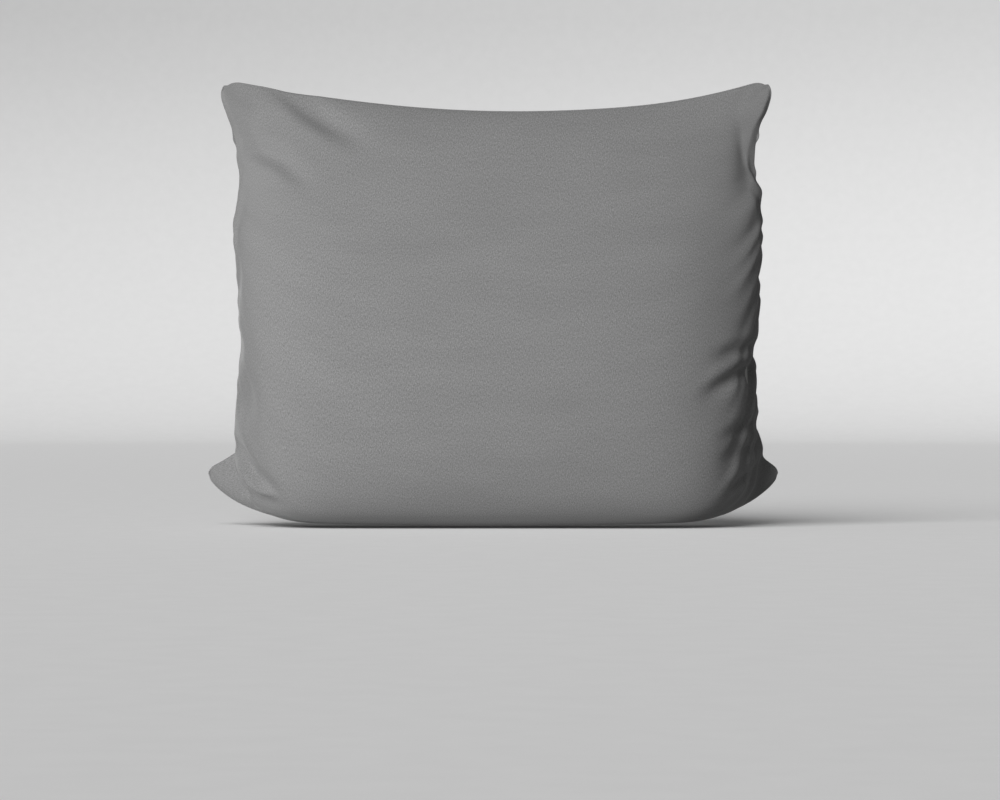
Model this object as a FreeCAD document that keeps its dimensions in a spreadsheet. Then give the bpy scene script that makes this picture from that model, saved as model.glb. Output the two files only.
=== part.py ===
"""A small rectangular bed pillow: a zipped fabric case round a stuffed inner pillow.

The pillow stands on its long lower edge. X runs along that edge, -Y is the front, +Z is up, and the
origin is under the middle of the whole pillow, at floor level. Lengths are in millimetres.

The case and the inner pillow are each two panels that meet along one seam. A panel is a thin solid
between two B-spline faces, whose poles are laid out by rows that run from the bottom seam over the
bulge to the top seam, and by columns that run from one side seam to the other. The zip lies in the
bottom seam, which faces down and back, and is modelled in a frame of its own: X along the teeth,
Y across the tapes towards the front panel, and Z out of the pillow.
"""

import FreeCAD, Part
import math
import os

import Sketcher
from FreeCAD import Placement, Rotation, Vector

DRIVING_DIMENSIONS = {
    # The stuffed pillow as it stands
    "pillow_width": 494.0,
    "pillow_height": 385.0,
    "front_bulge": 72.0,
    "back_bulge": 69.0,
    "top_edge_dip": 24.0,
    "side_edge_inset": 20.0,
    "top_corner_inset": 9.0,
    "ear_lift": 48.0,
    "seam_set_back": 43.0,
    "seam_lift": 17.0,
    "top_seam_forward": 8.0,
    "foot_press": 0.6,
    "seam_tilt": 45.0,
    # Cloth
    "case_fabric": 1.2,
    "case_seam_width": 6.0,
    "ticking_fabric": 0.8,
    "ticking_seam_width": 5.0,
    "layer_gap": 0.8,
    "fill_gap": 0.8,
    "fill_seam_gap": 4.0,
    "inner_seam_gap": 4.0,
    "zip_room": 5.2,
    # Zip
    "zip_opening": 304.0,
    "slot_width": 10.0,
    "tape_length": 318.0,
    "tape_width": 11.5,
    "tape_thickness": 0.6,
    "cloth_touch": 0.1,
    "tooth_pitch": 2.4,
    "tooth_length": 1.0,
    "tooth_reach": 2.3,
    "tooth_overlap": 0.5,
    "tooth_height": 1.7,
    "tooth_rounding": 0.25,
    "stop_length": 2.2,
    "stop_width": 1.3,
    "stop_height": 1.5,
    # Slider and pull
    "slider_length": 9.6,
    "slider_width": 7.4,
    "slider_plate": 0.8,
    "slider_clearance": 0.2,
    "slider_flange": 0.8,
    "post_length": 2.6,
    "post_width": 1.3,
    "bridge_length": 5.6,
    "bridge_height": 2.5,
    "bridge_width": 1.6,
    "bridge_wall": 0.8,
    "pull_length": 14.0,
    "pull_width": 5.4,
    "pull_thickness": 0.9,
    "pull_frame": 1.1,
    # Thread and label
    "stitch_pitch": 3.2,
    "stitch_length": 2.3,
    "thread_thickness": 0.3,
    "stitch_inset": 1.8,
    "closing_seam_length": 130.0,
    "label_length": 34.0,
    "label_width": 14.0,
    "label_thickness": 0.3,
}

# Shares across half the width at which the columns of poles stand.
COLUMNS = (0.0, 0.25, 0.48, 0.62, 0.70, 0.77, 0.84, 0.90, 0.945, 0.98, 1.0)
# Rows of poles from the bottom seam to the top seam, as shares of the bulge and of the height. The
# rows before them are the flat band that carries the zip, as distances along its plane.
BAND_ROWS = (0.0, 4.5, 9.0, 13.5, 18.0)
FRONT_ROWS = (
    (-0.26, -0.02), (-0.04, -0.02), (0.21, -0.02), (0.47, -0.02), (0.71, 0.004), (0.89, 0.045),
    (1.00, 0.11), (1.05, 0.20), (1.07, 0.31), (1.03, 0.44), (0.93, 0.58), (0.76, 0.72),
    (0.52, 0.86), (0.27, 0.96),
)
BACK_ROWS = (
    (0.80, 0.115), (0.86, 0.155), (0.91, 0.20), (0.955, 0.25), (0.985, 0.30), (1.01, 0.36),
    (1.02, 0.42), (1.00, 0.49), (0.95, 0.56), (0.86, 0.64), (0.71, 0.73), (0.50, 0.83),
    (0.24, 0.92), (0.03, 0.975),
)
# The same rows on the surface that holds the seam, as shares of the way up and of the way forward.
SEAM_UP = (
    0.0, 0.02, 0.04, 0.065, 0.09, 0.12, 0.155, 0.195, 0.24, 0.29,
    0.345, 0.405, 0.47, 0.54, 0.61, 0.69, 0.77, 0.86, 0.94, 1.0,
)
SEAM_FORWARD = (
    0.0, 0.0, 0.03, 0.08, 0.15, 0.24, 0.35, 0.47, 0.58, 0.68,
    0.76, 0.83, 0.88, 0.92, 0.95, 0.97, 0.98, 0.99, 1.0, 1.0,
)
# How far the side seam flares out to the bottom corner, the ear, and to the top corner.
EAR_FLARE = (1.0, 0.76, 0.52, 0.32, 0.16, 0.06) + 14 * (0.0,)
TOP_FLARE = 15 * (0.0,) + (0.02, 0.1, 0.32, 0.68, 1.0)
# How much of the room for the zip each row of the inner pillow leaves.
ROOM_ROWS = (1.0, 1.0, 1.0, 1.0, 0.8, 0.4, 0.1) + 13 * (0.0,)
# How square each row is from side to side: the zip's band stays straight, and the body bulges.
SQUARENESS = (
    24.0, 24.0, 24.0, 22.0, 18.0, 14.0, 12.0, 10.5, 9.0, 7.5,
    6.2, 5.2, 4.5, 4.0, 3.7, 3.5, 3.4, 3.4, 3.4, 3.4,
)
EDGE_FULLNESS = 0.78
BOTTOM_CORNER_POWER = 20.0
TOP_CORNER_POWER = 3.6
FRONT = -1
BACK = 1


def make_spreadsheet(document):
    """The driving dimensions as a sheet whose cells other objects bind to."""
    sheet = document.addObject("Spreadsheet::Sheet", "Dimensions")
    for row, (name, value) in enumerate(DRIVING_DIMENSIONS.items(), start=1):
        sheet.set(f"A{row}", name)
        sheet.set(f"B{row}", str(value))
        sheet.setAlias(f"B{row}", name)
    document.recompute()
    return sheet


class Pillow:
    """Lays out the poles of the pillow's faces, at any depth inside its outer surface."""

    def __init__(self, size):
        self.size = size
        self.lean = math.radians(size.seam_tilt)
        self.half_body = size.pillow_width / 2 - size.side_edge_inset
        self.half_top = size.pillow_width / 2 - size.top_corner_inset
        self.middle_height = size.pillow_height - size.top_edge_dip

    def seam_point(self):
        """The middle of the bottom seam, as Y and Z."""
        return self.size.seam_set_back, self.size.seam_lift

    def section(self, side):
        """The poles of the outer surface in the plane x = 0, as Y and Z pairs."""
        size = self.size
        seam_y, seam_z = self.seam_point()
        along_y, along_z = side * math.cos(self.lean), side * math.sin(self.lean)
        band = [(seam_y + d * along_y, seam_z + d * along_z) for d in BAND_ROWS]
        bulge = size.front_bulge if side == FRONT else size.back_bulge
        rows = FRONT_ROWS if side == FRONT else BACK_ROWS
        body = [(side * bulge * depth, self.middle_height * height) for depth, height in rows]
        return band + body + [(-size.top_seam_forward, self.middle_height)]

    def inset_section(self, side, inset, seam_inset, room):
        """The same poles moved inwards."""
        outer = self.section(side)
        last = len(outer) - 1
        moved = []
        for row, (y, z) in enumerate(outer):
            before, after = outer[max(row - 1, 0)], outer[min(row + 1, last)]
            step_y, step_z = after[0] - before[0], after[1] - before[1]
            length = math.hypot(step_y, step_z)
            depth = inset + (max(room - inset, 0.0)) * ROOM_ROWS[row]
            inwards_y, inwards_z = -side * step_z / length, side * step_y / length
            if row == last:
                moved.append((y, z - seam_inset))
                continue
            moved.append((y + depth * inwards_y, z + depth * inwards_z))
        moved[-2] = (moved[-2][0], min(moved[-2][1], moved[-1][1] - seam_inset / 4))
        return moved

    def poles(self, side, floor, inset=0.0, seam_inset=0.0, room=0.0):
        """The whole net of poles of one face: a list of columns, each with a pole for every row."""
        size = self.size
        if inset:
            section = self.inset_section(side, inset, seam_inset, room)
        else:
            section = self.section(side)
        seam_depth = inset + max(room - inset, 0.0) if inset else 0.0
        low_y = size.seam_set_back - seam_depth * math.sin(self.lean)
        low_z = size.seam_lift + seam_depth * math.cos(self.lean)
        top_y = -size.top_seam_forward
        net = []
        section = [(y, max(z, floor)) for y, z in section]
        for share in [-c for c in reversed(COLUMNS[1:])] + list(COLUMNS):
            column = []
            for row, (y, z) in enumerate(section):
                up, forward = SEAM_UP[row], SEAM_FORWARD[row]
                half = self.half_body + EAR_FLARE[row] * (0.0 if room else size.side_edge_inset)
                half += TOP_FLARE[row] * (self.half_top - self.half_body)
                half -= seam_inset
                seam_y = low_y + forward * (top_y - low_y)
                middle_z = low_z + up * (self.middle_height - seam_inset - low_z)
                ear_z = size.ear_lift + seam_inset / 2
                side_z = ear_z + up * (size.pillow_height - seam_inset - ear_z)
                power = BOTTOM_CORNER_POWER + up * (TOP_CORNER_POWER - BOTTOM_CORNER_POWER)
                seam_z = middle_z + (side_z - middle_z) * abs(share) ** power
                full = (1 - abs(share) ** SQUARENESS[row]) ** EDGE_FULLNESS
                column.append(Vector(
                    share * half,
                    seam_y + full * (y - (low_y + forward * (top_y - low_y))),
                    seam_z + full * (z - middle_z),
                ))
            net.append(column)
        return net


def spline_face(net):
    """A smooth face whose poles are the net's, clamped to its outermost poles."""
    columns, rows = len(net), len(net[0])
    surface = Part.BSplineSurface()
    knots = [list(range(count - 2)) for count in (columns, rows)]
    multiplicities = [[4] + [1] * (count - 4) + [4] for count in (columns, rows)]
    surface.buildFromPolesMultsKnots(
        net, multiplicities[0], multiplicities[1], knots[0], knots[1], False, False, 3, 3
    )
    return surface.toShape()


def edge_curve(points):
    """The curve that a row or column of poles makes at the border of such a face."""
    curve = Part.BSplineCurve()
    count = len(points)
    curve.buildFromPolesMultsKnots(
        points, [4] + [1] * (count - 4) + [4], list(range(count - 2)), False, 3
    )
    return curve.toShape()


def border(net):
    """The four border curves of a net: left, right, bottom and top."""
    return [
        edge_curve(net[0]),
        edge_curve(net[-1]),
        edge_curve([column[0] for column in net]),
        edge_curve([column[-1] for column in net]),
    ]


def closed_solid(faces):
    """A solid from faces that meet along their borders."""
    shell = Part.Compound(faces)
    shell.sewShape(1e-3)
    solid = Part.makeSolid(shell.Shells[0])
    if solid.Volume < 0:
        solid.reverse()
    return solid


def panel_solid(outer_net, inner_net):
    """A cloth panel: an outer face, an inner face and the rim that joins them at the seam."""
    rims = [Part.makeRuledSurface(a, b) for a, b in zip(border(outer_net), border(inner_net))]
    return closed_solid([spline_face(outer_net), spline_face(inner_net)] + rims)


def half_space_below(level, size):
    """A block that holds everything below a level."""
    reach = size.pillow_width
    return Part.makeBox(2 * reach, 2 * reach, reach, Vector(-reach, -reach, level - reach))


def add_shape(document, name, shape, placement=None):
    """A plain feature that holds a shape made with Part's own functions."""
    feature = document.addObject("Part::Feature", name)
    feature.Shape = shape
    if placement:
        feature.Placement = placement
    return feature


def zip_placement(size):
    """Carries the zip's own frame to its place in the bottom seam."""
    return Placement(
        Vector(0, size.seam_set_back, size.seam_lift),
        Rotation(Vector(1, 0, 0), -(180 - size.seam_tilt)),
    )


class ZipLevels:
    """Heights of the zip's layers in its own frame, from the inside of the pillow outwards."""

    def __init__(self, size):
        self.tape_top = -size.case_fabric - size.cloth_touch
        self.tape_bottom = self.tape_top - size.tape_thickness
        self.teeth_top = self.tape_top + size.cloth_touch + size.tooth_height
        self.inner_plate_top = self.tape_bottom - size.slider_clearance
        self.inner_plate_bottom = self.inner_plate_top - size.slider_plate
        self.outer_plate_bottom = self.teeth_top + size.slider_clearance
        self.outer_plate_top = self.outer_plate_bottom + size.slider_plate
        turning = size.pull_thickness / math.sqrt(2)
        self.pivot = self.outer_plate_top + turning + 1.5 * size.slider_clearance


def case_panels(document, size, pillow):
    """The front and back of the case, with the slot for the zip and the flat foot it stands on."""
    slot = Part.makeBox(
        size.zip_opening, size.slot_width, 4 * size.case_fabric,
        Vector(-size.zip_opening / 2, -size.slot_width / 2, -2 * size.case_fabric),
    )
    slot.Placement = zip_placement(size)
    below_floor = half_space_below(0.0, size)
    for side, name in ((FRONT, "case_front_panel"), (BACK, "case_back_panel")):
        outer = pillow.poles(side, -size.foot_press)
        inner = pillow.poles(side, size.case_fabric, size.case_fabric, size.case_seam_width)
        add_shape(document, name, panel_solid(outer, inner).cut(below_floor).cut(slot))


def inner_pillow(document, size, pillow):
    """The ticking panels of the inner pillow, and the fibre that fills them."""
    gaps = (size.layer_gap, size.ticking_fabric, size.fill_gap)
    seam_gaps = (size.inner_seam_gap, size.ticking_seam_width, size.fill_seam_gap)
    depth, seam_inset, room = size.case_fabric, size.case_seam_width, size.zip_room - gaps[0]
    nets = []
    for gap, seam_gap in zip(gaps, seam_gaps):
        depth, seam_inset, room = depth + gap, seam_inset + seam_gap, room + gap
        nets.append([pillow.poles(side, depth, depth, seam_inset, room) for side in (FRONT, BACK)])
    outside, inside, filling = nets
    for number, name in enumerate(("inner_front_panel", "inner_back_panel")):
        add_shape(document, name, panel_solid(outside[number], inside[number]))
    add_shape(document, "fibre_fill", closed_solid([spline_face(net) for net in filling]))


def new_body(document, name):
    """An empty PartDesign body."""
    return document.addObject("PartDesign::Body", name)


def plane_of(body, role):
    """One of the body's own origin planes."""
    return next(f for f in body.Origin.OriginFeatures if f.Role == role)


def sketch_on(body, role, name, offset=0.0):
    """A sketch on one of the body's origin planes, moved along that plane's normal."""
    sketch = body.newObject("Sketcher::SketchObject", name)
    sketch.AttachmentSupport = (plane_of(body, role), "")
    sketch.MapMode = "FlatFace"
    sketch.AttachmentOffset = Placement(Vector(0, 0, offset), Rotation())
    return sketch


def sketch_polygon(sketch, points):
    """A closed outline of straight lines through the points."""
    vectors = [Vector(x, y, 0) for x, y in points]
    for start, end in zip(vectors, vectors[1:] + vectors[:1]):
        sketch.addGeometry(Part.LineSegment(start, end), False)
    count = len(vectors)
    for line in range(count):
        sketch.addConstraint(Sketcher.Constraint("Coincident", line, 2, (line + 1) % count, 1))


def bound_rectangle(sketch, left, bottom, width, height):
    """A rectangle whose corner and sides follow expressions on the sheet."""
    sketch_polygon(sketch, [(-1, -1), (1, -1), (1, 1), (-1, 1)])
    for line, kind in ((0, "Horizontal"), (2, "Horizontal"), (1, "Vertical"), (3, "Vertical")):
        sketch.addConstraint(Sketcher.Constraint(kind, line))
    places = (
        ("DistanceX", (-1, 1, 0, 1), left), ("DistanceY", (-1, 1, 0, 1), bottom),
        ("DistanceX", (0, 1, 0, 2), width), ("DistanceY", (1, 1, 1, 2), height),
    )
    for kind, where, expression in places:
        number = sketch.addConstraint(Sketcher.Constraint(kind, *where, 1.0))
        sketch.setExpression(f"Constraints[{number}]", expression)


def cell(*names):
    """The expression that adds up cells of the sheet, as a length."""
    return "(" + " + ".join(f"Dimensions.{name}" for name in names) + ") * 1 mm"


def pad(body, sketch, name, *names):
    """A pad of a sketch, as long as the named cells add up to."""
    feature = body.newObject("PartDesign::Pad", name)
    feature.Profile = sketch
    feature.setExpression("Length", cell(*names))
    return feature


def cut_through(body, sketch, name, *names):
    """A pocket of a sketch that starts in front of the solid, as deep as the cells add up to."""
    feature = body.newObject("PartDesign::Pocket", name)
    feature.Profile = sketch
    feature.Reversed = True
    feature.setExpression("Length", cell(*names))
    return feature


def zip_tapes(document, size, levels):
    """Two woven tapes, one under each panel's edge, side by side under the teeth."""
    edge = "(Dimensions.post_width / 2 + Dimensions.slider_clearance)"
    for side, name in ((1, "zip_tape_front"), (-1, "zip_tape_back")):
        body = new_body(document, name)
        sketch = sketch_on(body, "XY_Plane", name + "_outline", levels.tape_bottom)
        bottom = f"{edge} * 1 mm" if side > 0 else f"-({edge} + Dimensions.tape_width) * 1 mm"
        bound_rectangle(
            sketch, "-Dimensions.tape_length / 2 * 1 mm", bottom,
            cell("tape_length"), cell("tape_width"),
        )
        pad(body, sketch, name + "_pad", "tape_thickness")
        body.Placement = zip_placement(size)


def tooth(size, side, bottom):
    """One moulded tooth, from its root on the tape to its head past the middle."""
    near = -side * size.tooth_overlap / 2
    far = side * size.tooth_reach
    low, high = min(near, far), max(near, far)
    block = Part.makeBox(
        size.tooth_length, high - low, size.tooth_height, Vector(-size.tooth_length / 2, low, bottom)
    )
    rims = [
        e for e in block.Edges
        if min(v.Z for v in e.Vertexes) > bottom + size.tooth_height / 2
    ]
    return block.makeFillet(size.tooth_rounding, rims)


def chain_ends(size):
    """Where the rows of teeth begin and end along the zip."""
    half = size.zip_opening / 2
    return -half + 3 * size.stop_length, half - size.slider_length


def zip_teeth(document, size, levels):
    """Two rows of separate teeth that mesh: each row stands half a pitch from the other."""
    start, end = chain_ends(size)
    count = int((end - start) // size.tooth_pitch)
    bottom = levels.tape_top + size.cloth_touch
    rows = ((1, "zip_teeth_front", 0.0), (-1, "zip_teeth_back", size.tooth_pitch / 2))
    for side, name, shift in rows:
        one = tooth(size, side, bottom)
        row = []
        for number in range(count):
            copy = one.copy()
            copy.translate(Vector(start + shift + number * size.tooth_pitch, 0, 0))
            row.append(copy)
        add_shape(document, name, Part.Compound(row), zip_placement(size))


def zip_stops(document, size, levels):
    """Two small stops at the closed end, one on each tape, and one across both at the other end."""
    bottom = levels.tape_top + size.cloth_touch
    closed = size.zip_opening / 2 - size.slider_length / 2 + size.stop_length / 2
    inside = size.post_width / 2 + size.slider_clearance
    blocks = []
    for side in (1, -1):
        low = inside if side > 0 else -inside - size.stop_width
        block = Part.makeBox(
            size.stop_length, size.stop_width, size.stop_height, Vector(closed, low, bottom)
        )
        blocks.append(block.makeFillet(size.tooth_rounding, block.Edges[:4]))
    add_shape(document, "zip_top_stops", Part.Compound(blocks), zip_placement(size))

    body = new_body(document, "zip_bottom_stop")
    sketch = sketch_on(body, "XY_Plane", "bottom_stop_outline", bottom)
    bound_rectangle(
        sketch,
        "(-Dimensions.zip_opening / 2 + Dimensions.stop_length) * 1 mm",
        "-Dimensions.tooth_reach * 1 mm",
        cell("stop_length"),
        "Dimensions.tooth_reach * 2 mm",
    )
    solid = pad(body, sketch, "bottom_stop_pad", "tooth_height")
    document.recompute()
    rounding = body.newObject("PartDesign::Fillet", "bottom_stop_rounding")
    rounding.Base = (solid, [f"Edge{n + 1}" for n in upright_edges(solid.Shape)])
    rounding.setExpression("Radius", cell("tooth_rounding"))
    body.Placement = zip_placement(size)


def upright_edges(shape):
    """The numbers of the straight edges that run along Z."""
    found = []
    for number, edge in enumerate(shape.Edges):
        if len(edge.Vertexes) == 2:
            step = edge.Vertexes[1].Point - edge.Vertexes[0].Point
            if abs(step.x) < 1e-6 and abs(step.y) < 1e-6:
                found.append(number)
    return found


def slider_outline(size, inset=0.0):
    """Half-hexagon plan of a slider plate: wide shoulders at the closing end, narrow at the other."""
    half = size.slider_length / 2 - inset
    wide = size.slider_width / 2 - inset
    narrow = wide - size.slider_flange / 2
    return [
        (-half, -narrow), (half * 0.35, -wide), (half, -wide * 0.72),
        (half, wide * 0.72), (half * 0.35, wide), (-half, narrow),
    ]


def slider_place(size):
    """Where the closed slider stands along the zip."""
    return size.zip_opening / 2 - size.slider_length / 2


def zip_slider(document, size, levels):
    """The die-cast slider: two plates joined by a post, flanges that hold the tapes, and a bridge."""
    body = new_body(document, "zip_slider_body")
    inner = sketch_on(body, "XY_Plane", "inner_plate_outline", levels.inner_plate_bottom)
    sketch_polygon(inner, slider_outline(size))
    pad(body, inner, "inner_plate", "slider_plate")

    post = sketch_on(body, "XY_Plane", "post_outline", levels.inner_plate_bottom)
    middle = size.slider_length / 2 - size.post_length
    half_wide = size.post_width / 2
    sketch_polygon(post, [
        (middle - size.post_length / 2, 0), (middle, -half_wide),
        (middle + size.post_length / 2, 0), (middle, half_wide),
    ])
    pad(
        body, post, "post_pad", "slider_plate", "slider_clearance", "tape_thickness", "cloth_touch",
        "tooth_height", "slider_clearance", "slider_plate",
    )

    outer = sketch_on(body, "XY_Plane", "outer_plate_outline", levels.outer_plate_bottom)
    sketch_polygon(outer, slider_outline(size))
    pad(body, outer, "outer_plate", "slider_plate")

    flange_bottom = levels.tape_top + size.slider_clearance
    inside = size.slider_width / 2 - size.slider_flange
    for side, name in ((1, "front_flange"), (-1, "back_flange")):
        flange = sketch_on(body, "XY_Plane", name + "_outline", flange_bottom)
        sketch_polygon(flange, [
            (-size.slider_length / 2, side * (inside - size.slider_flange / 2)),
            (size.slider_length * 0.18, side * inside),
            (size.slider_length * 0.18, side * (inside + size.slider_flange)),
            (-size.slider_length / 2, side * (inside + size.slider_flange / 2)),
        ])
        pad(body, flange, name, "cloth_touch", "tooth_height")

    bridge = sketch_on(body, "XZ_Plane", "bridge_side", 0.0)
    top = levels.outer_plate_top
    half = size.bridge_length / 2
    wall = size.bridge_wall
    height = size.bridge_height
    sketch_polygon(bridge, [
        (-half, top), (-half, top + height * 0.6), (-half + wall, top + height),
        (half - wall, top + height), (half, top + height * 0.6), (half, top),
        (half - wall, top), (half - wall, top + height - wall),
        (-half + wall, top + height - wall), (-half + wall, top),
    ])
    arch = pad(body, bridge, "bridge", "bridge_width")
    arch.Midplane = True
    body.Placement = zip_placement(size).multiply(
        Placement(Vector(slider_place(size), 0, 0), Rotation())
    )


def zip_pull(document, size, levels):
    """A flat pull whose cross bar turns under the slider's bridge, hanging straight out."""
    body = new_body(document, "zip_pull_tab")
    bar = size.pull_thickness
    half = size.pull_width / 2
    eye_half = size.bridge_width / 2 + 2 * size.slider_clearance
    plate = sketch_on(body, "YZ_Plane", "pull_outline", -bar / 2)
    sketch_polygon(plate, [
        (-half * 0.72, -bar / 2), (half * 0.72, -bar / 2), (half * 0.72, size.pull_length * 0.4),
        (half, size.pull_length * 0.62), (half * 0.8, size.pull_length),
        (-half * 0.8, size.pull_length), (-half, size.pull_length * 0.62),
        (-half * 0.72, size.pull_length * 0.4),
    ])
    pad(body, plate, "pull_plate", "pull_thickness")
    eye = sketch_on(body, "YZ_Plane", "eye_outline", -bar)
    eye_top = bar / 2 + size.bridge_height + size.slider_clearance
    sketch_polygon(eye, [
        (-eye_half, bar / 2), (eye_half, bar / 2), (eye_half, eye_top), (-eye_half, eye_top),
    ])
    cut_through(body, eye, "pull_eye", "pull_thickness", "pull_thickness")
    grip = sketch_on(body, "YZ_Plane", "grip_outline", -bar)
    low = eye_top + size.pull_frame
    high = size.pull_length - size.pull_frame
    grip_half = half * 0.8 - size.pull_frame
    sketch_polygon(grip, [(-grip_half, low), (grip_half, low), (grip_half, high), (-grip_half, high)])
    cut_through(body, grip, "grip_window", "pull_thickness", "pull_thickness")
    body.Placement = zip_placement(size).multiply(
        Placement(Vector(slider_place(size), 0, levels.pivot), Rotation())
    )


def stitch_row(size, start, end, across, bottom):
    """A straight row of separate stitches."""
    count = int((end - start) // size.stitch_pitch)
    lead = (end - start - count * size.stitch_pitch + size.stitch_pitch - size.stitch_length) / 2
    return [
        Part.makeBox(
            size.stitch_length, size.thread_thickness, size.thread_thickness,
            Vector(start + lead + n * size.stitch_pitch, across - size.thread_thickness / 2, bottom),
        )
        for n in range(count)
    ]


def stitching(document, size):
    """The rows that hold the tapes to the case, and the row that closes the inner pillow."""
    across = size.slot_width / 2 + size.stitch_inset
    half = size.zip_opening / 2
    rows = [
        stitch for side in (1, -1)
        for stitch in stitch_row(size, -half, half, side * across, size.cloth_touch)
    ]
    add_shape(document, "zip_topstitch", Part.Compound(rows), zip_placement(size))
    bottom = -size.zip_room + size.cloth_touch
    closing = stitch_row(
        size, -size.closing_seam_length - size.label_length,
        -size.label_length, 0.0, bottom,
    )
    add_shape(document, "inner_closing_stitch", Part.Compound(closing), zip_placement(size))


def inner_label(document, size):
    """A blank care label that lies over the inner pillow's bottom seam."""
    body = new_body(document, "inner_care_label")
    sketch = sketch_on(body, "XY_Plane", "label_outline", -size.zip_room + size.cloth_touch)
    bound_rectangle(
        sketch, cell("label_length"), "-Dimensions.label_width / 2 * 1 mm",
        cell("label_length"), cell("label_width"),
    )
    pad(body, sketch, "label_pad", "label_thickness")
    body.Placement = zip_placement(size)


NODES = (
    "case_front_panel", "case_back_panel", "inner_front_panel", "inner_back_panel", "fibre_fill",
    "zip_tape_front", "zip_tape_back", "zip_teeth_front", "zip_teeth_back", "zip_top_stops",
    "zip_bottom_stop", "zip_topstitch", "zip_slider_body", "zip_pull_tab", "inner_closing_stitch",
    "inner_care_label",
)


def centre_on_origin(document, nodes):
    """Slides every node in Y so that the pillow's box is centred on the origin."""
    box = FreeCAD.BoundBox()
    for node in nodes:
        box.add(node.Shape.optimalBoundingBox(False))
    shift = Placement(Vector(0, -(box.YMin + box.YMax) / 2, 0), Rotation())
    for node in nodes:
        node.Placement = shift.multiply(node.Placement)
    document.recompute()
    return shift.Base.y


def check(document, nodes):
    """Stops the build if any object failed or any node isn't a valid closed solid."""
    for item in document.Objects:
        if {"Invalid", "Error"} & set(item.State):
            raise RuntimeError(f"{item.Name} failed: {item.State}")
    for node in nodes:
        shape = node.Shape
        if shape.isNull() or not shape.isValid() or not shape.Solids:
            raise RuntimeError(f"{node.Name} isn't a valid solid")


def main():
    document = FreeCAD.newDocument("bed_pillow")
    size = make_spreadsheet(document)
    pillow = Pillow(size)
    levels = ZipLevels(size)
    case_panels(document, size, pillow)
    inner_pillow(document, size, pillow)
    zip_tapes(document, size, levels)
    zip_teeth(document, size, levels)
    zip_stops(document, size, levels)
    zip_slider(document, size, levels)
    zip_pull(document, size, levels)
    stitching(document, size)
    inner_label(document, size)
    document.recompute()
    nodes = [document.getObject(name) for name in NODES]
    for node in nodes:
        node.Label = node.Name
    shift = centre_on_origin(document, nodes)
    check(document, nodes)
    os.makedirs("parts", exist_ok=True)
    for node in nodes:
        node.Shape.exportStep(f"parts/{node.Label}.step")
        box = node.Shape.optimalBoundingBox(False)
        print(
            f"{node.Label}: {len(node.Shape.Solids)} solids, {node.Shape.Volume:.0f} mm3, "
            f"x {box.XMin:.1f}..{box.XMax:.1f} y {box.YMin:.1f}..{box.YMax:.1f} "
            f"z {box.ZMin:.2f}..{box.ZMax:.1f}"
        )
    pivot = zip_placement(size).multVec(Vector(slider_place(size), 0, levels.pivot))
    print(f"shift {shift:.3f}; pull pivot {pivot.x:.3f} {pivot.y + shift:.3f} {pivot.z:.3f}")


main()
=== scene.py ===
"""Looks of the bed pillow: a zipped cloth case round a stuffed inner pillow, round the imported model.

Lengths are in metres. X runs along the pillow's long lower edge, -Y is the front and +Z is up. The case
is laid out as two panels on a grid each, is blown up as cloth, and is then cut into its panels. The zip's
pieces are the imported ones, and the inner pillow follows the inside of the finished case.
"""

import logging
import math
from dataclasses import dataclass, field
from enum import Enum

import bmesh
import bpy
import numpy as np
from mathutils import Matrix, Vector

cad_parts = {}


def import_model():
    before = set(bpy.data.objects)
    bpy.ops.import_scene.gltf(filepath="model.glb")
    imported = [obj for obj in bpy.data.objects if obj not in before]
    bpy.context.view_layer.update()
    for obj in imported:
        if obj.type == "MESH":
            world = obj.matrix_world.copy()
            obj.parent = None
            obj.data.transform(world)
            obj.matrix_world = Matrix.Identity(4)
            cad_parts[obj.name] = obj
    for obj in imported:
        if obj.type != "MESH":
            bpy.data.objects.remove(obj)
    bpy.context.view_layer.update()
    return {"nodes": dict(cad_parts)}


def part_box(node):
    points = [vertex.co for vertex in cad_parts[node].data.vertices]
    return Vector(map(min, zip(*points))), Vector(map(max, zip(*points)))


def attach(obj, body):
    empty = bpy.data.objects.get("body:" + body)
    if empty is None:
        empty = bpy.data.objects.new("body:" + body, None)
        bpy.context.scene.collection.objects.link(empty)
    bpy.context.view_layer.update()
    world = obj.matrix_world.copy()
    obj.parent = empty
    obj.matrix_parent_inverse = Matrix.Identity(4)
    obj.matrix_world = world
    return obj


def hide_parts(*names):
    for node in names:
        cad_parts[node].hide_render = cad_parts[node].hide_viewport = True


MM = 0.001
# Vertices that are closer than this are one.
WELD = 1e-6
# The four rims of a grid of places.
RIMS = (np.s_[0, :], np.s_[-1, :], np.s_[:, 0], np.s_[:, -1])
EVEN = (1.0, 1.0, 1.0)
log = logging.getLogger("bed_pillow")


class Side(Enum):
    """The two panels of the case and of the inner pillow, by the sign of Y that they face."""

    FRONT = -1
    BACK = 1


# ---- Small mesh and shader helpers ----


def smooth_step(low: float, high: float, value: np.ndarray) -> np.ndarray:
    """Eases from 0 at low to 1 at high.

    Args:
        low: where the ease starts.
        high: where it ends.
        value: the numbers to ease.

    Returns:
        An array of shares from 0 to 1.
    """
    share = np.clip((value - low) / (high - low), 0.0, 1.0)
    return share * share * (3.0 - 2.0 * share)


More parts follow.
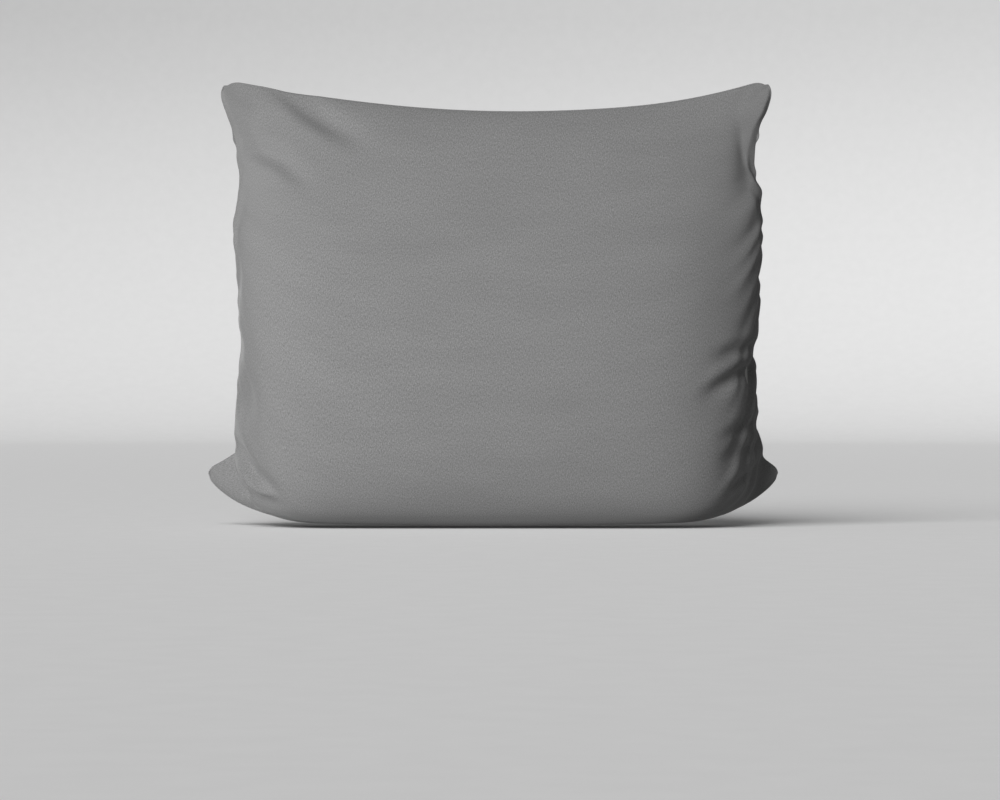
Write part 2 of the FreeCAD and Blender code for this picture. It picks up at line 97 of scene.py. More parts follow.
def spline_weights(count: int, place: np.ndarray) -> np.ndarray:
    """Weights of each pole of a cubic B-spline that is clamped to its first and last poles.

    Args:
        count: how many poles the spline has.
        place: parameters along the spline, from 0 to 1.

    Returns:
        An array with a row for each parameter and a column for each pole.
    """
    spans = count - 3
    knots = np.concatenate([np.zeros(3), np.linspace(0.0, 1.0, spans + 1), np.ones(3)])
    inside = np.clip(np.asarray(place, float), 0.0, 1.0 - 1e-9)[:, None]
    weights = ((knots[:-1] <= inside) & (inside < knots[1:])).astype(float)
    for degree in range(1, 4):
        fewer = len(knots) - 1 - degree
        rise = knots[degree : degree + fewer] - knots[:fewer]
        fall = knots[degree + 1 : degree + 1 + fewer] - knots[1 : 1 + fewer]
        up = np.where(rise > 0, (inside - knots[:fewer]) / np.where(rise > 0, rise, 1), 0.0)
        down = (knots[degree + 1 : degree + 1 + fewer] - inside) / np.where(fall > 0, fall, 1)
        down = np.where(fall > 0, down, 0.0)
        weights = up * weights[:, :fewer] + down * weights[:, 1 : fewer + 1]
    return weights


def coordinates(mesh: bpy.types.Mesh) -> np.ndarray:
    """The places of a mesh's vertices, one row each."""
    found = np.empty(len(mesh.vertices) * 3)
    mesh.vertices.foreach_get("co", found)
    return found.reshape(-1, 3)


def set_coordinates(mesh: bpy.types.Mesh, places: np.ndarray) -> None:
    """Moves a mesh's vertices to the given places."""
    mesh.vertices.foreach_set("co", places.ravel())
    mesh.update()


def new_object(name: str, mesh: bpy.types.Mesh) -> bpy.types.Object:
    """Links a mesh into the scene as an object at the origin."""
    piece = bpy.data.objects.new(name, mesh)
    bpy.context.scene.collection.objects.link(piece)
    return piece


def take_mesh(shape: bmesh.types.BMesh, name: str) -> bpy.types.Mesh:
    """Turns a shape into a mesh with this name and frees the shape."""
    mesh = bpy.data.meshes.new(name)
    shape.to_mesh(mesh)
    shape.free()
    return mesh


def shade_smooth(mesh: bpy.types.Mesh) -> None:
    """Shades every face of a mesh smooth."""
    mesh.polygons.foreach_set("use_smooth", [True] * len(mesh.polygons))


def add_modifier(
    piece: bpy.types.Object, name: str, kind: str, **settings: object
) -> bpy.types.Modifier:
    """Adds a modifier and sets its fields.

    Args:
        piece: the object that gets it.
        name: the modifier's name.
        kind: its type, as Blender names it.
        **settings: its fields.

    Returns:
        The modifier.
    """
    modifier = piece.modifiers.new(name, kind)
    for key, value in settings.items():
        setattr(modifier, key, value)
    return modifier


def bake_modifiers(piece: bpy.types.Object) -> None:
    """Replaces an object's mesh with what its modifiers make of it."""
    graph = bpy.context.evaluated_depsgraph_get()
    graph.update()
    made = bpy.data.meshes.new_from_object(piece.evaluated_get(graph), depsgraph=graph)
    made.name = piece.name
    piece.modifiers.clear()
    piece.data = made


class Shader:
    """Builds a node material around one Principled BSDF."""

    def __init__(self, name: str, **sockets: object) -> None:
        """Starts the material.

        Args:
            name: the material's name.
            **sockets: constant values of the Principled BSDF, by socket name with _ for a space.
        """
        self.material = bpy.data.materials.new(name)
        self.material.use_nodes = True
        self.nodes = self.material.node_tree.nodes
        self.links = self.material.node_tree.links
        self.surface = self.nodes["Principled BSDF"]
        for key, value in sockets.items():
            self.surface.inputs[key.replace("_", " ")].default_value = value

    def node(
        self, kind: str, inputs: dict[str | int, object] | None = None, **fields: object
    ) -> bpy.types.Node:
        """Adds a node.

        Args:
            kind: the node's type name.
            inputs: socket name to a constant, or to an output socket that feeds it.
            **fields: the node's own fields.

        Returns:
            The node.
        """
        made = self.nodes.new(kind)
        for key, value in fields.items():
            setattr(made, key, value)
        for key, value in (inputs or {}).items():
            socket = made.inputs[key]
            if isinstance(value, bpy.types.NodeSocket):
                self.links.new(value, socket)
            else:
                socket.default_value = value
        return made

    def coordinates(
        self, source: str, scale: tuple[float, float, float] = EVEN, turn: float = 0.0
    ) -> bpy.types.NodeSocket:
        """Texture coordinates times a scale, turned about Z.

        Args:
            source: "UV" or "Object".
            scale: what each coordinate is multiplied by.
            turn: the angle in radians.

        Returns:
            The mapped vector socket.
        """
        base = self.node("ShaderNodeTexCoord").outputs[source]
        mapped = self.node("ShaderNodeMapping", {"Vector": base, "Scale": scale})
        mapped.inputs["Rotation"].default_value = (0.0, 0.0, turn)
        return mapped.outputs["Vector"]

    def noise(
        self, vector: bpy.types.NodeSocket, scale: float, detail: float, roughness: float = 0.5
    ) -> bpy.types.NodeSocket:
        """A noise texture's value socket."""
        settings = {"Vector": vector, "Scale": scale, "Detail": detail, "Roughness": roughness}
        return self.node("ShaderNodeTexNoise", settings).outputs["Fac"]

    def math(
        self, operation: str, first: object, second: object = 0.0, third: object = 0.0
    ) -> bpy.types.NodeSocket:
        """A math node's value socket."""
        made = self.node("ShaderNodeMath", {0: first, 1: second, 2: third}, operation=operation)
        return made.outputs["Value"]

    def ramp(
        self, value: bpy.types.NodeSocket, low: float, high: float, dark: float, light: float
    ) -> bpy.types.NodeSocket:
        """Maps a value from one range to another, clamped."""
        ends = {"From Min": low, "From Max": high, "To Min": dark, "To Max": light}
        return self.node("ShaderNodeMapRange", {"Value": value, **ends}).outputs["Result"]

    def mottle(
        self, noise: bpy.types.NodeSocket, dark: float, light: float
    ) -> bpy.types.NodeSocket:
        """A noise's usual range, mapped to shares of a colour."""
        return self.ramp(noise, 0.3, 0.7, dark, light)

    def colour(self, tint: tuple[float, float, float], strength: bpy.types.NodeSocket) -> None:
        """Feeds the base colour with a tint times a value that varies over the surface."""
        made = self.node("ShaderNodeVectorMath", {0: tint, "Scale": strength}, operation="SCALE")
        self.links.new(made.outputs["Vector"], self.surface.inputs["Base Color"])

    def bump(self, height: bpy.types.NodeSocket, distance: float, strength: float) -> None:
        """Feeds the normal from a height."""
        settings = {"Height": height, "Distance": distance, "Strength": strength}
        made = self.node("ShaderNodeBump", settings)
        self.links.new(made.outputs["Normal"], self.surface.inputs["Normal"])


# ---- Finishes ----


@dataclass(frozen=True)
class BrushedCloth:
    """A fine twill that is brushed to a short soft nap."""

    name: str
    tint: tuple[float, float, float]
    twill_pitch: float = 0.9 * MM
    grain_size: float = 0.8 * MM
    grain_contrast: float = 0.42
    cloud_contrast: float = 0.035
    cloud_size: float = 1.0 / 14.0
    cloud_stretch: float = 3.2
    streak_stretch: float = 0.42
    streak_turn: float = 38.0
    streak_pitch: float = 1.15
    relief: float = 0.25 * MM
    roughness: float = 0.92
    sheen: float = 0.25
    sheen_roughness: float = 0.45
    specular: float = 0.18

    def build(self) -> bpy.types.Material:
        """Makes the material."""
        shader = Shader(
            self.name,
            Roughness=self.roughness,
            Sheen_Weight=self.sheen,
            Sheen_Roughness=self.sheen_roughness,
            Specular_IOR_Level=self.specular,
        )
        speckle = shader.noise(shader.coordinates("UV"), 1.0 / self.grain_size, 3.0, 0.62)
        streaks = []
        for turn in (self.streak_turn, -self.streak_turn):
            leaning = shader.coordinates("UV", (1.0, self.streak_stretch, 1.0), math.radians(turn))
            streaks.append(shader.noise(leaning, self.streak_pitch / self.grain_size, 2.0, 0.55))
        speckle = shader.math("MULTIPLY_ADD", speckle, 0.5, shader.math("MULTIPLY", streaks[0], 0.3))
        speckle = shader.math("MULTIPLY_ADD", streaks[1], 0.3, speckle)
        fine = shader.ramp(speckle, 0.38, 0.72, 1.0 - self.grain_contrast, 1.0 + self.grain_contrast)
        stretched = shader.coordinates("UV", (1.0, self.cloud_stretch, 1.0))
        cloud = shader.noise(stretched, 1.0 / self.cloud_size, 3.0)
        soft = shader.mottle(cloud, 1.0 - self.cloud_contrast, 1.0 + self.cloud_contrast)
        shader.colour(self.tint, shader.math("MULTIPLY", fine, soft))
        twill = shader.node(
            "ShaderNodeTexWave",
            {
                "Vector": shader.coordinates("UV", turn=math.radians(45.0)),
                "Scale": 0.5 / self.twill_pitch,
                "Distortion": 1.2,
                "Detail": 1.0,
                "Detail Scale": 2.0,
            },
            bands_direction="X",
        ).outputs["Fac"]
        shader.bump(shader.math("MULTIPLY_ADD", twill, 0.35, speckle), self.relief, 0.5)
        return shader.material


@dataclass(frozen=True)
class PlainWeave:
    """A plain woven cloth, tape or ribbon, with its threads crossing square."""

    name: str
    tint: tuple[float, float, float]
    thread_pitch: float = 0.5 * MM
    contrast: float = 0.18
    wear_size: float = 1.0 / 90.0
    relief: float = 0.12 * MM
    roughness: float = 0.85

    def build(self) -> bpy.types.Material:
        """Makes the material."""
        shader = Shader(
            self.name, Roughness=self.roughness, Sheen_Weight=0.15, Specular_IOR_Level=0.25
        )
        waves = []
        for direction in ("X", "Y"):
            settings = {"Scale": 0.5 / self.thread_pitch, "Distortion": 0.6, "Detail": 1.0}
            settings["Vector"] = shader.coordinates("Object")
            wave = shader.node("ShaderNodeTexWave", settings, bands_direction=direction)
            waves.append(wave.outputs["Fac"])
        weave = shader.math("MULTIPLY", shader.math("ADD", waves[0], waves[1]), 0.5)
        worn = shader.noise(shader.coordinates("Object"), 1.0 / self.wear_size, 3.0)
        strength = shader.math("MULTIPLY_ADD", weave, self.contrast, 1.0 - self.contrast / 2)
        faded = shader.mottle(worn, 0.95, 1.05)
        shader.colour(self.tint, shader.math("MULTIPLY", strength, faded))
        shader.bump(weave, self.relief, 0.6)
        return shader.material


@dataclass(frozen=True)
class Fibre:
    """Loose crimped polyester fibre."""

    name: str
    tint: tuple[float, float, float]

    def build(self) -> bpy.types.Material:
        """Makes the material."""
        shader = Shader(self.name, Roughness=0.95, Sheen_Weight=0.4, Specular_IOR_Level=0.1)
        tufts = shader.noise(shader.coordinates("Object"), 60.0, 6.0, 0.7)
        shader.colour(self.tint, shader.mottle(tufts, 0.85, 1.0))
        shader.bump(tufts, 4.0 * MM, 0.8)
        return shader.material


@dataclass(frozen=True)
class MouldedPlastic:
    """Moulded nylon with a soft gloss and faint flow marks."""

    name: str
    tint: tuple[float, float, float]

    def build(self) -> bpy.types.Material:
        """Makes the material."""
        shader = Shader(self.name, Roughness=0.38, Specular_IOR_Level=0.5)
        marks = shader.noise(shader.coordinates("Object"), 900.0, 2.0)
        shader.colour(self.tint, shader.mottle(marks, 0.9, 1.1))
        shader.bump(marks, 0.03 * MM, 0.4)
        return shader.material


@dataclass(frozen=True)
class EnamelledMetal:
    """Die-cast metal under a thin coat of matching enamel, faintly mottled."""

    name: str
    tint: tuple[float, float, float]

    def build(self) -> bpy.types.Material:
        """Makes the material."""
        shader = Shader(self.name, Metallic=0.55, Roughness=0.34, Coat_Weight=0.3, Coat_Roughness=0.2)
        mottle = shader.noise(shader.coordinates("Object"), 1400.0, 3.0)
        shader.colour(self.tint, shader.mottle(mottle, 0.88, 1.12))
        shader.bump(mottle, 0.02 * MM, 0.4)
        return shader.material


@dataclass(frozen=True)
class StudioPaper:
    """Matt backdrop paper."""

    name: str
    tint: tuple[float, float, float]

    def build(self) -> bpy.types.Material:
        """Makes the material."""
        shader = Shader(self.name, Roughness=0.95, Specular_IOR_Level=0.1)
        tooth = shader.noise(shader.coordinates("Object"), 40.0, 2.0)
        shader.colour(self.tint, shader.mottle(tooth, 0.99, 1.01))
        return shader.material


# ---- The case ----


@dataclass(frozen=True)
class Fold:
    """A fold in the case's front: a valley, or a ridge if its depth is negative, along a short path.

    The path, the depth and the width are in millimetres. The skew is the height of the lip beside the
    valley, as a share of its depth, and the lip's own measures are in widths of the valley.
    """

    path: tuple[tuple[float, float], ...]
    depth: float
    width: float
    skew: float = 0.0
    lip_place: float = 1.5
    lip_width: float = 1.1
    lip_reach: float = 2.6

    def push(self, flat: np.ndarray) -> np.ndarray:
        """How far the cloth moves out along its normal.

        Args:
            flat: X and Z of each point of the panel, one row each.

        Returns:
            One distance for each point, negative where the cloth sinks.
        """
        route = np.array(self.path) * MM
        best = np.full(len(flat), np.inf)
        along = np.zeros(len(flat))
        side = np.zeros(len(flat))
        steps = np.diff(route, axis=0)
        lengths = np.linalg.norm(steps, axis=1)
        total = lengths.sum()
        walked = 0.0
        for start, step, length in zip(route, steps, lengths):
            share = np.clip(((flat - start) @ step) / length**2, 0.0, 1.0)
            gap = flat - (start + share[:, None] * step)
            far = np.linalg.norm(gap, axis=1)
            nearer = far < best
            best = np.where(nearer, far, best)
            along = np.where(nearer, (walked + share * length) / total, along)
            crossing = (gap[:, 0] * step[1] - gap[:, 1] * step[0]) / length
            side = np.where(nearer, crossing, side)
            walked += length
        fade = np.sin(np.pi * np.clip(0.12 + 0.84 * along, 0.0, 1.0)) ** 0.8
        width = self.width * MM
        near = np.exp(-((best / width) ** 2))
        lip = np.exp(-(((side - self.lip_place * width) / (self.lip_width * width)) ** 2))
        lip *= np.exp(-((best / (self.lip_reach * width)) ** 2))
        return -self.depth * MM * fade * (near - self.skew * lip)


@dataclass(frozen=True)
class SideEdge:
    """One side of the case: how far out its seam runs, and how it wanders on the way up."""

    body: float
    ear: float
    top: float
    corner_height: float
    top_power: float
    wander: tuple[tuple[float, float], ...]
    pucker_depth: float
    pucker_pitch: float
    pucker_start: tuple[float, float] = (0.055, 0.080)
    pucker_end: tuple[float, float] = (0.290, 0.340)

    def shift(self, height: np.ndarray) -> tuple[np.ndarray, np.ndarray]:
        """How far the seam stands out from its smooth line.

        Args:
            height: heights along the seam.

        Returns:
            Distances away from the middle of the pillow, then distances towards the back.
        """
        stops = np.array(self.wander) * MM
        place = np.interp(height, stops[:, 0], np.arange(len(stops)))
        share = place - np.floor(place)
        low = stops[np.floor(place).astype(int), 1]
        high = stops[np.minimum(np.floor(place).astype(int) + 1, len(stops) - 1), 1]
        long_wave = low + (high - low) * share * share * (3.0 - 2.0 * share)
        turn = math.tau * height / self.pucker_pitch
        fade = smooth_step(*self.pucker_start, height) * (1.0 - smooth_step(*self.pucker_end, height))
        short_wave = np.sin(turn + 1.4 * np.sin(0.37 * turn)) * fade
        back_wave = np.sin(0.5 * turn + 0.9 * np.sin(0.61 * turn + 1.0)) * fade
        return long_wave + self.pucker_depth * short_wave, 1.6 * self.pucker_depth * back_wave


@dataclass
class CaseForm:
    """The stuffed case as a smooth form, before its cloth wrinkles: two B-spline panels on one seam."""

    left: SideEdge = SideEdge(
        body=0.2220,
        ear=0.2555,
        top=0.2420,
        corner_height=0.3925,
        top_power=1.7,
        wander=(
            (52, 0.0), (66, -5.0), (82, 5.5), (112, 3.0), (158, -1.5), (205, 0.5), (262, 4.0),
            (300, -1.5), (330, 0.5), (350, 0.0),
        ),
        pucker_depth=0.4 * MM,
        pucker_pitch=24.0 * MM,
    )
    right: SideEdge = SideEdge(
        body=0.2305,
        ear=0.2555,
        top=0.2470,
        corner_height=0.3945,
        top_power=2.8,
        wander=(
            (48, 0.0), (59, -3.0), (71, 5.0), (88, 1.0), (100, 2.5), (128, -1.5), (142, 0.5),
            (155, -4.5), (172, 0.5), (198, 2.5), (224, 1.5), (243, 4.0), (290, 3.5), (303, -1.0),
            (324, -2.5), (350, -2.0), (362, 0.0),
        ),
        pucker_depth=0.9 * MM,
        pucker_pitch=19.0 * MM,
    )
    middle_height: float = 0.3620
    ear_lift: float = 0.0450
    front_bulge: float = 0.0715
    back_bulge: float = 0.0690
    seam_lift: float = 0.0170
    seam_set_back: float = 0.0461
    top_seam_y: float = -0.0049
    seam_tilt: float = math.radians(45.0)
    bottom_power: float = 14.0
    edge_fullness: tuple[float, ...] = (
        0.9, 0.9, 0.82, 0.70, 0.60, 0.53, 0.49, 0.48, 0.48, 0.50,
        0.53, 0.52, 0.52, 0.52, 0.54, 0.57, 0.62, 0.70, 0.80, 0.9,
    )
    columns: tuple[float, ...] = (0.0, 0.25, 0.48, 0.62, 0.70, 0.77, 0.84, 0.90, 0.945, 0.98, 1.0)
    band: tuple[float, ...] = (0.0, 0.0045, 0.009, 0.0135, 0.018)
    front_rows: tuple[tuple[float, float], ...] = (
        (-0.24, 0.0), (-0.03, 0.0), (0.19, 0.0), (0.40, 0.002), (0.60, 0.012), (0.77, 0.046),
        (0.91, 0.105), (1.01, 0.19), (1.06, 0.30), (1.04, 0.43), (0.94, 0.57), (0.77, 0.71),
        (0.53, 0.85), (0.28, 0.955),
    )
    back_rows: tuple[tuple[float, float], ...] = (
        (0.86, 0.115), (0.91, 0.155), (0.95, 0.20), (0.985, 0.25), (1.01, 0.30), (1.03, 0.36),
        (1.03, 0.42), (1.00, 0.49), (0.95, 0.56), (0.86, 0.64), (0.71, 0.73), (0.50, 0.83),
        (0.26, 0.92), (0.06, 0.975),
    )
    seam_up: tuple[float, ...] = (
        0.0, 0.010, 0.020, 0.032, 0.045, 0.075, 0.115, 0.16, 0.21, 0.265,
        0.325, 0.39, 0.455, 0.525, 0.60, 0.68, 0.765, 0.855, 0.935, 1.0,
    )
    seam_forward: tuple[float, ...] = (
        0.0, 0.0, 0.03, 0.08, 0.15, 0.24, 0.35, 0.47, 0.58, 0.68,
        0.76, 0.83, 0.88, 0.92, 0.95, 0.97, 0.98, 0.99, 1.0, 1.0,
    )
    ear_flare: tuple[float, ...] = (1.0, 0.95, 0.84, 0.66, 0.42, 0.08) + 14 * (0.0,)
    top_flare: tuple[float, ...] = 16 * (0.0,) + (0.0, 0.06, 0.75, 1.0)
    wander_from: float = 0.80
    squareness: tuple[float, ...] = (
        24.0, 24.0, 24.0, 23.0, 21.0, 19.0, 17.0, 15.0, 12.5, 10.0,
        7.5, 6.0, 4.5, 4.0, 3.7, 3.5, 3.4, 3.4, 3.4, 3.4,
    )

    def section(self, side: Side) -> np.ndarray:
        """The poles of one panel in the plane x = 0.

        Args:
            side: which panel.

        Returns:
            Y and Z of each pole, from the bottom seam to the top one.
        """
        bulge = self.front_bulge if side is Side.FRONT else self.back_bulge
        rows = self.front_rows if side is Side.FRONT else self.back_rows
        lean = np.array([math.cos(self.seam_tilt), math.sin(self.seam_tilt)]) * side.value
        seam = np.array([self.seam_set_back, self.seam_lift])
        band = [seam + distance * lean for distance in self.band]
        body = [(side.value * bulge * depth, self.middle_height * height) for depth, height in rows]
        return np.array(band + body + [(self.top_seam_y, self.middle_height)])

    def net(self, side: Side) -> np.ndarray:
        """The net of poles of one panel.

        Args:
            side: which panel.

        Returns:
            Places by column, from left to right, and by row, from the bottom seam up.
        """
        section = self.section(side)
        up, forward = np.array(self.seam_up), np.array(self.seam_forward)
        seam_y = self.seam_set_back + forward * (self.top_seam_y - self.seam_set_back)
        middle_z = self.seam_lift + up * (self.middle_height - self.seam_lift)
        ear, top = np.array(self.ear_flare), np.array(self.top_flare)
        net = []
        for share in [-c for c in reversed(self.columns[1:])] + list(self.columns):
            edge = self.right if share > 0 else self.left
            half = edge.body + ear * (edge.ear - edge.body) + top * (edge.top - edge.body)
            side_z = self.ear_lift + up * (edge.corner_height - self.ear_lift)
            power = self.bottom_power + np.minimum(1.0, 1.6 * up) * (edge.top_power - self.bottom_power)
            seam_z = middle_z + (side_z - middle_z) * abs(share) ** power
            full = (1.0 - abs(share) ** np.array(self.squareness)) ** np.array(self.edge_fullness)
            net.append(
                np.stack(
                    [
                        share * half,
                        seam_y + full * (section[:, 0] - seam_y),
                        seam_z + full * (section[:, 1] - middle_z),
                    ],
                    axis=1,
                )
            )
        return np.array(net)

    def wander(self, surface: np.ndarray, across: np.ndarray) -> np.ndarray:
        """Lets the side seams wander, and the cloth beside them with it.

        Args:
            surface: the grid of places of one panel.
            across: the spline parameter of each of them, from left to right.

        Returns:
            The moved places.
        """
        moved = surface.copy()
        for edge, sign, near in ((self.left, -1.0, 1.0 - across), (self.right, 1.0, across)):
            weight = smooth_step(self.wander_from, 1.0, near)
            seam_height = np.broadcast_to(surface[-1 if sign > 0 else 0, :, 2], near.shape)
            outwards, backwards = edge.shift(seam_height)
            moved[..., 0] += sign * weight * outwards
            moved[..., 1] += weight**2 * backwards
        return moved

    def parameters(self, across: int, upwards: int) -> tuple[np.ndarray, np.ndarray]:
        """Spline parameters that space the grid evenly over the cloth.

        Args:
            across: how many cells the grid has from left to right.
            upwards: how many it has from the bottom seam to the top one.

        Returns:
            The parameters of the grid's columns, and those of its rows.
        """
        fine = np.linspace(0.0, 1.0, 801)
        wide, tall = np.zeros(len(fine)), np.zeros(len(fine))
        for net in (self.net(side) for side in Side):
            columns, rows = net.shape[:2]
            for reach, line in ((wide, net[:, rows // 2]), (tall, net[columns // 2])):
                steps = np.linalg.norm(np.diff(spline_weights(len(line), fine) @ line, axis=0), axis=1)
                reach[1:] += np.cumsum(steps) / steps.sum() / len(Side)
        return (
            np.interp(np.linspace(0.0, 1.0, across + 1), wide, fine),
            np.interp(np.linspace(0.0, 1.0, upwards + 1), tall, fine),
        )


@dataclass(frozen=True)
class ClothRun:
    """How the case's cloth is cut and blown up."""

    frames: int = 26
    pressure: float = 5.0
    gather: float = 0.013
    gather_from: float = 0.55
    tightness: float = 0.010
    upright_tightness: float = 0.008
    quality: int = 6
    bending: float = 7.0
    tension: float = 40.0
    weight: float = 0.15
    damping: float = 6.0
    air_damping: float = 2.0
    gravity: float = 0.1
    skin: float = 0.5 * MM
    furthest: float = 9.0 * MM


@dataclass
class Case:
    """The zipped case: two cloth panels that share one seam, with a slot for the zip."""

    form: CaseForm
    cloth: BrushedCloth
    run: ClothRun = field(default_factory=ClothRun)
    across: int = 108
    upwards: int = 92
    flat_width: float = 0.500
    flat_height: float = 0.400
    ear_radius: float = 0.010
    corner_radius: float = 0.024
    fabric: float = 1.2 * MM
    slot_half_width: float = 5.0 * MM
    held_ear: tuple[float, float] = (0.045, 0.095)
    held_corner: tuple[float, float] = (0.020, 0.055)
    floor_gap: float = 0.3 * MM
    least_gap: float = 4.0 * MM
    calm_passes: int = 60
    calm_heights: tuple[float, float] = (0.10, 0.18)
    calm_low: tuple[float, float] = (0.66, 0.88)
    calm_high: tuple[float, float] = (0.84, 1.0)
    seeded_fold: float = 0.5
    kept_fold: float = 0.65
    folds: tuple[Fold, ...] = (
        Fold(((-180, 380), (-160, 362), (-138, 347), (-112, 334)), 5.0, 10.0, 0.4),
        Fold(((-236, 336), (-212, 331), (-184, 318), (-160, 296)), 4.5, 8.5, 0.4),
        Fold(((229, 376), (224, 340), (219, 292)), 4.0, 9.0),
        Fold(((234, 157), (216, 155), (194, 149)), 6.0, 5.5, 0.5),
        Fold(((234, 142), (210, 132), (184, 117)), 8.0, 5.5, 0.6),
        Fold(((236, 94), (216, 87), (198, 79)), 6.0, 4.5, 0.5),
        Fold(((236, 71), (216, 67), (198, 62)), 5.0, 4.5, 0.4),
        Fold(((232, 53), (220, 44), (207, 34)), 6.0, 4.0, 0.6),
        Fold(((237, 62), (230, 44), (221, 25)), 6.0, 3.6, 0.5),
        Fold(((-224, 72), (-211, 52), (-204, 42), (-186, 29)), 12.0, 4.0, 0.4),
        Fold(((-224, 58), (-214, 42), (-203, 31), (-190, 26)), -3.5, 4.5),
        Fold(((-216, 32), (-204, 24), (-180, 19)), 6.5, 4.2, 0.3),
        Fold(((-248, 55), (-236, 48), (-226, 43)), 3.0, 4.5, 0.3),
        Fold(((-214, 268), (-90, 272), (60, 270), (190, 266)), 0.5, 7.0),
        Fold(((-200, 249), (-120, 251), (20, 247)), 0.4, 6.0),
        Fold(((-210, 172), (-60, 170), (90, 173)), 0.5, 8.0),
        Fold(((-120, 144), (40, 146), (170, 141)), 0.4, 7.0),
        Fold(((-205, 101), (-80, 103), (120, 99)), 0.5, 7.0),
        Fold(((-150, 76), (30, 74), (180, 78)), 0.4, 6.0),
    )
    zip_columns: tuple[float, float] = (0.72, 0.82)
    zip_rows: tuple[float, float] = (2.5, 6.0)
    band_width: tuple[float, float] = (9.0 * MM, 17.0 * MM)
    band_end: tuple[float, float] = (2.0 * MM, 22.0 * MM)
    band_depth: float = 8.0 * MM
    foot_height: tuple[float, float] = (3.0 * MM, 9.0 * MM)
    grids: dict[Side, np.ndarray] = field(default_factory=dict)
    middle_y: np.ndarray | None = None
    cell: dict[Side, np.ndarray] = field(default_factory=dict)

    def build(self) -> dict[Side, bpy.types.Object]:
        """Makes the two panels, dresses them and puts them on the pillow.

        Returns:
            The front and back panels.
        """
        blank = self.lay_out()
        target = self.press_folds(blank, coordinates(blank.data), self.seeded_fold)
        places = self.calm(target, self.blow_up(blank, target))
        places = self.press_folds(blank, places, self.kept_fold)
        places = self.part_panels(places)
        set_coordinates(blank.data, places)
        self.cell = {side: places[grid] for side, grid in self.grids.items()}
        add_modifier(blank, "finer", "SUBSURF", levels=1, render_levels=1)
        bake_modifiers(blank)
        self.lay_zip_band(blank)
        self.set_down(blank)
        panels = {side: self.cut_panel(blank, side) for side in Side}
        bpy.data.objects.remove(blank)
        return panels

    def lay_out(self) -> bpy.types.Object:
        """Lays both panels on their grids and joins them along the seam."""
        column_places, row_places = self.form.parameters(self.across, self.upwards)
        nets = {side: self.form.net(side) for side in Side}
        columns, rows = nets[Side.FRONT].shape[:2]
        across, upwards = np.meshgrid(column_places, row_places, indexing="ij")
        surfaces = {}
        for side, net in nets.items():
            over = spline_weights(columns, across.ravel())
            along = spline_weights(rows, upwards.ravel())
            flat = np.einsum("pc,cri,pr->pi", over, net, along, optimize=True)
            surfaces[side] = self.form.wander(flat.reshape(*across.shape, 3), across)
            for column in (0, -1):
                self.round_off(surfaces[side], column, 0, self.ear_radius)
                self.round_off(surfaces[side], column, -1, self.corner_radius)
        seam = (surfaces[Side.FRONT] + surfaces[Side.BACK]) / 2
        shape = bmesh.new()
        cloth_map = shape.loops.layers.uv.new("cloth")
        for side, surface in surfaces.items():
            for rim in RIMS:
                surface[rim] = seam[rim]
            self.add_panel(shape, side, surface, cloth_map)
        bmesh.ops.remove_doubles(shape, verts=shape.verts[:], dist=WELD)
        mesh = take_mesh(shape, "case_blank")
        self.grids = self.find_grids(mesh, surfaces)
        self.middle_y = (surfaces[Side.FRONT][..., 1] + surfaces[Side.BACK][..., 1]) / 2
        return new_object("case_blank", mesh)

    def round_off(self, surface: np.ndarray, column: int, row: int, radius: float) -> None:
        """Rounds one corner of a panel, as it is seen from the front.

        Args:
            surface: the grid of places, which is changed.
            column: the corner's column, 0 or -1.
            row: the corner's row, 0 or -1.
            radius: how far from the corner the rounding starts.
        """
        flat = surface[..., [0, 2]]
        tip = flat[column, row].copy()
        sides = []
        for line in (flat[:, row], flat[column, :]):
            reach = np.linalg.norm(line - tip, axis=1)
            nearest = np.argmin(np.abs(reach - radius))
            sides.append((line[nearest] - tip) / reach[nearest])
        inwards = np.clip(1.0 - (flat - tip) @ np.linalg.inv(np.array(sides)) / radius, 0.0, None)
        near = (inwards > 0.0).all(axis=2) & (inwards < 1.5).all(axis=2)
        longest, reach = inwards.max(axis=2), np.linalg.norm(inwards, axis=2)
        share = np.where(near, 1.0 - longest / np.where(near, reach, 1.0), 0.0)[..., None]
        moved = (inwards * share * radius) @ np.array(sides)
        surface[..., 0] += moved[..., 0]
        surface[..., 2] += moved[..., 1]

    def add_panel(
        self,
        shape: bmesh.types.BMesh,
        side: Side,
        surface: np.ndarray,
        cloth_map: bmesh.types.BMLayerItem,
    ) -> None:
        """Adds one panel's grid to the shape, with its own cloth coordinates.

        Args:
            shape: what the grid is added to.
            side: which panel.
            surface: its grid of places.
            cloth_map: the layer that holds the coordinates.
        """
        made = bmesh.ops.create_grid(
            shape, x_segments=self.across, y_segments=self.upwards, size=1.0
        )
        shift = 0.0 if side is Side.FRONT else 1.3 * self.flat_width
        for vertex in made["verts"]:
            column = round((vertex.co.x + 1.0) / 2.0 * self.across)
            row = round((vertex.co.y + 1.0) / 2.0 * self.upwards)
            vertex.co = surface[column, row]
            for loop in vertex.link_loops:
                loop[cloth_map].uv = (
                    shift + column / self.across * self.flat_width,
                    row / self.upwards * self.flat_height,
                )
        faces = {face for vertex in made["verts"] for face in vertex.link_faces}
        for face in faces:
            face.material_index = 0 if side is Side.FRONT else 1
        if side is Side.BACK:
            bmesh.ops.reverse_faces(shape, faces=list(faces))

